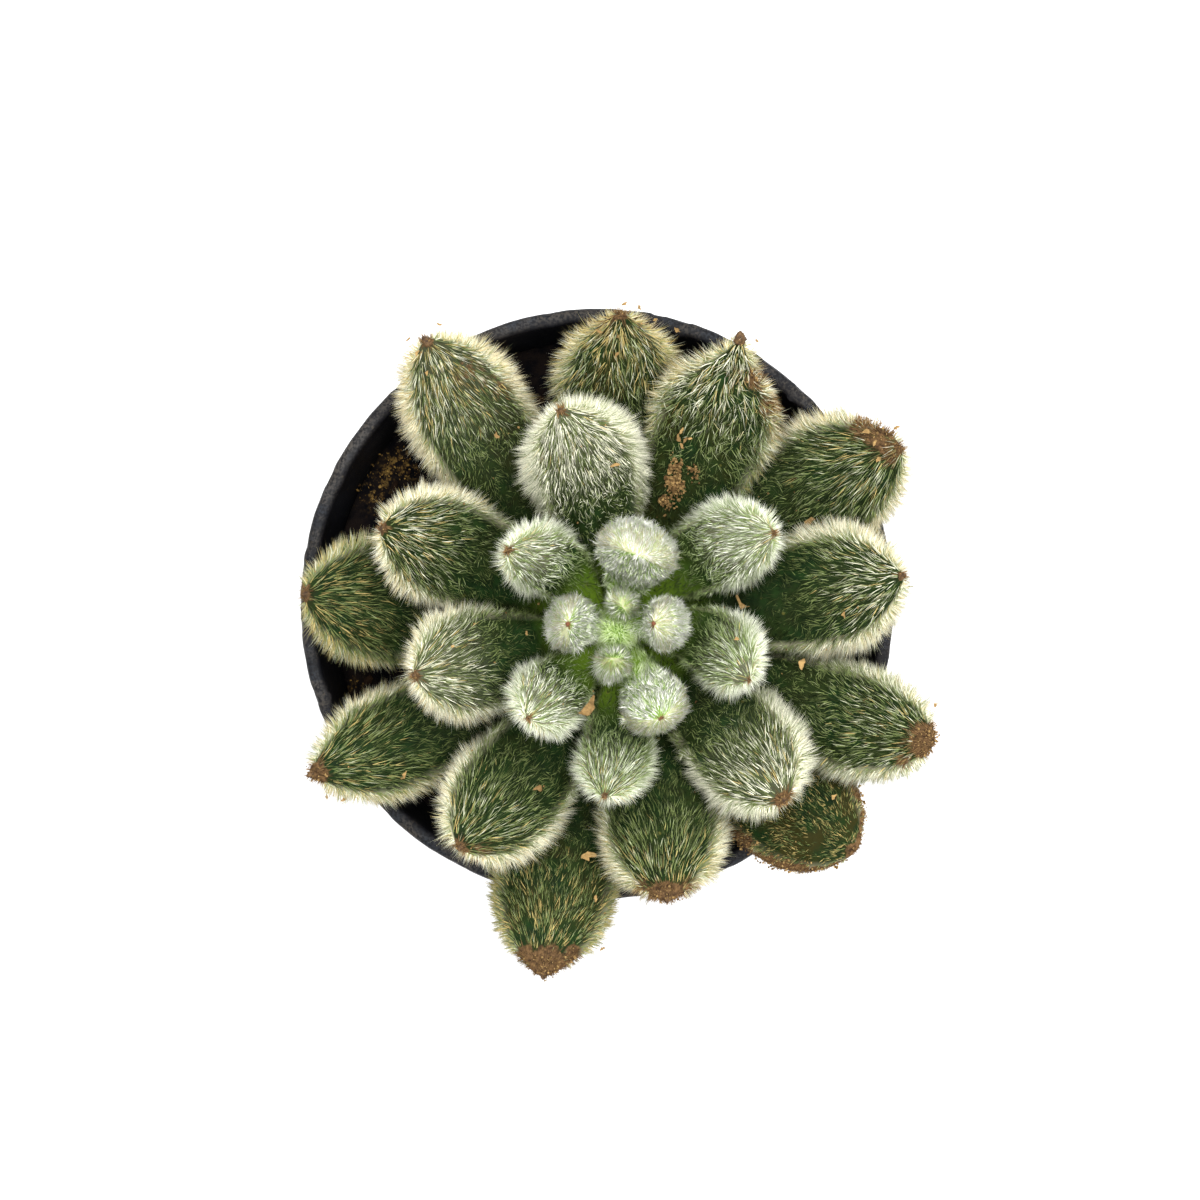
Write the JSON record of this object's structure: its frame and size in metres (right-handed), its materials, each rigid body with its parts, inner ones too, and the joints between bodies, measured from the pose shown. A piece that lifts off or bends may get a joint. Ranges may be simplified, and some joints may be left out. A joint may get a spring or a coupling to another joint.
{
  "type": "potted hairy echeveria",
  "caption": "Hairy rosette succulent with fleshy spoon-shaped leaves, growing in a small round tapered nursery pot filled with soil.",
  "frame": {"origin": "centre of the pot's flat underside, where it rests on a surface", "axes": "+Z up along the pot's axis; +X right and +Y up in the picture, which looks straight down"},
  "size_m": [0.0685, 0.0722, 0.0801],
  "materials": {
    "pot_plastic": "matt, slightly grainy moulded plastic",
    "potting_soil": "dark crumbly soil with bark and grit",
    "stem_flesh": "soft green flesh",
    "leaf_old": "fleshy leaf with cream hairs and brown tip",
    "leaf_grown": "fleshy leaf with dense white hairs",
    "leaf_young": "pale leaf felted with fine white hairs"
  },
  "bodies": {
    "root": {"pot": "pot_plastic", "soil": "potting_soil", "stem": "stem_flesh", "leaf_01": "leaf_old", "leaf_02": "leaf_old", "leaf_03": "leaf_old", "leaf_04": "leaf_old", "leaf_05": "leaf_old", "leaf_06": "leaf_old", "leaf_07": "leaf_old", "leaf_08": "leaf_old", "leaf_09": "leaf_grown", "leaf_10": "leaf_grown", "leaf_11": "leaf_grown", "leaf_12": "leaf_grown", "leaf_13": "leaf_grown", "leaf_14": "leaf_grown", "leaf_15": "leaf_grown", "leaf_16": "leaf_grown", "leaf_17": "leaf_young", "leaf_18": "leaf_young", "leaf_19": "leaf_young", "leaf_20": "leaf_young", "leaf_21": "leaf_young", "leaf_22": "leaf_young", "leaf_23": "leaf_young", "leaf_24": "leaf_young", "leaf_25": "leaf_young", "leaf_26": "leaf_young", "leaf_27": "leaf_young"}
  },
  "joints": []
}
